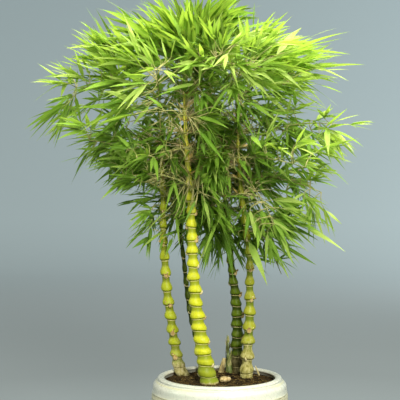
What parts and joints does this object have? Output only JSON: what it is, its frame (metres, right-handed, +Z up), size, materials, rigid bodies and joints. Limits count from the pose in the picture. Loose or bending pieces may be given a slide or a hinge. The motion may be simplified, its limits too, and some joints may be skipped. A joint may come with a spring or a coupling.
{
  "type": "potted bamboo bonsai",
  "caption": "Swollen-jointed bamboo canes with a leafy crown, growing from soil in a round cream glazed pot with a carved band.",
  "frame": {"origin": "middle of the pot's flat base, on the surface it stands on", "axes": "+Z up along the pot's axis; -Y is the front, +X to the right as seen from the front"},
  "size_m": [0.6071, 0.4952, 0.818],
  "materials": {
    "pot_glaze": "creamy white glaze with a fine mottle over grey-green tinted grooves and a carved band",
    "drain_net": "plain black plastic net",
    "potting_soil": "coarse dark brown potting mix with pale crumbs and fibres",
    "culm_centre": "waxy bright yellow-green cane with cream node scars",
    "culm_left": "waxy yellow-green cane with cream node scars and a scaly foot",
    "culm_right": "waxy olive-yellow cane with cream node scars and a scaly foot",
    "culm_back_right": "dark green cane with pale buds",
    "culm_back_left": "thin dark green cane",
    "young_shoot": "green-brown sheathed shoot",
    "dry_husk": "dry pale tan wood and husk",
    "foliage": "thin glossy leaves, lime green where young and deep green inside"
  },
  "bodies": {
    "root": {"branch_back_left_01": "foliage", "branch_back_left_02": "foliage", "branch_back_left_03": "foliage", "branch_back_left_04": "foliage", "branch_back_left_05": "foliage", "branch_back_right_01": "foliage", "branch_back_right_02": "foliage", "branch_back_right_03": "foliage", "branch_back_right_04": "foliage", "branch_back_right_05": "foliage", "branch_back_right_06": "foliage", "branch_back_right_07": "foliage", "branch_centre_01": "foliage", "branch_centre_02": "foliage", "branch_centre_03": "foliage", "branch_centre_04": "foliage", "branch_centre_05": "foliage", "branch_centre_06": "foliage", "branch_centre_07": "foliage", "branch_centre_08": "foliage", "branch_left_01": "foliage", "branch_left_02": "foliage", "branch_left_03": "foliage", "branch_left_04": "foliage", "branch_left_05": "foliage", "branch_left_06": "foliage", "branch_left_07": "foliage", "branch_left_08": "foliage", "branch_right_01": "foliage", "branch_right_02": "foliage", "branch_right_03": "foliage", "branch_right_04": "foliage", "branch_right_05": "foliage", "branch_right_06": "foliage", "branch_right_07": "foliage", "branch_right_08": "foliage", "branch_right_09": "foliage", "culm_back_left": "culm_back_left", "culm_back_right": "culm_back_right", "culm_centre": "culm_centre", "culm_left": "culm_left", "culm_right": "culm_right", "cut_stub": "dry_husk", "drain_mesh": "drain_net", "dry_stick": "dry_husk", "pot": "pot_glaze", "rhizome_chip": "dry_husk", "soil": "potting_soil", "young_shoot": "young_shoot"}
  },
  "joints": []
}
